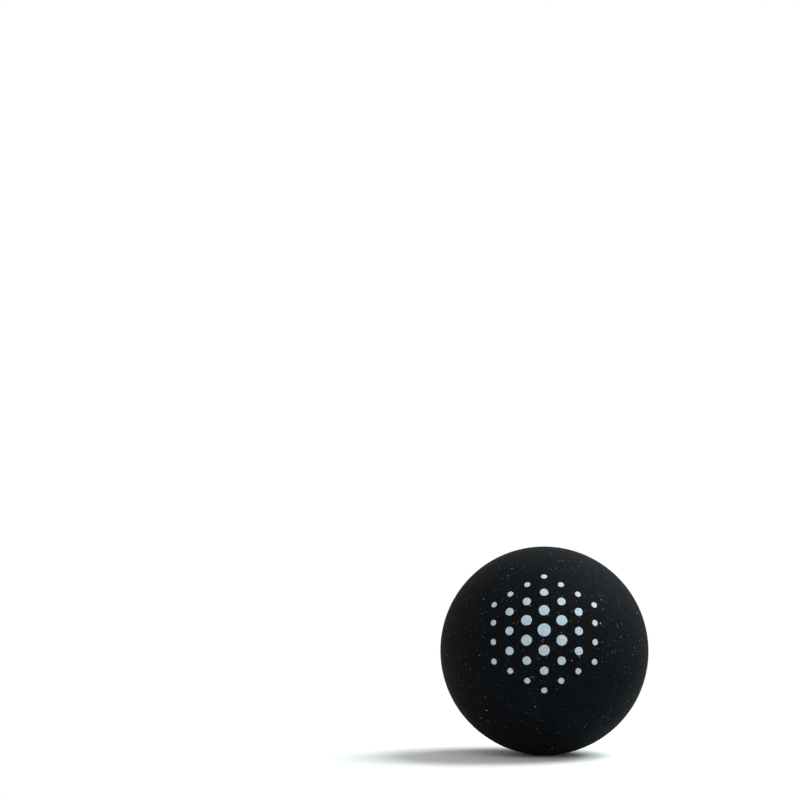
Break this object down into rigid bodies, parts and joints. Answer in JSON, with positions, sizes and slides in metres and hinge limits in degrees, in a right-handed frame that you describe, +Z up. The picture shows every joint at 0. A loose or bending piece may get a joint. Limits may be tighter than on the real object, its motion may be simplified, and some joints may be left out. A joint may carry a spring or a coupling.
{
  "type": "squash ball",
  "caption": "Hollow matt black rubber squash ball: moulded half shells cemented along a seam, with a pale printed dot stamp on the front.",
  "frame": {"origin": "centre of the ball", "axes": "+Z up as the ball lies with its stamp in view, -Y through the half shell that carries the stamp, +X to the right of the stamp; the seam lies in the XZ plane, so +Y is the axis of both half shells"},
  "size_m": [0.04, 0.04, 0.04],
  "materials": {
    "shell_rubber": "buffed matt, near black with a cool cast",
    "rubber_cement": "cured, slightly smoother than the shells",
    "stamp_ink": "matt pale blue-grey printing ink"
  },
  "bodies": {
    "root": {"front_half_shell": "shell_rubber", "rear_half_shell": "shell_rubber", "bond_ring": "rubber_cement", "ink_stamp": "stamp_ink"}
  },
  "joints": []
}
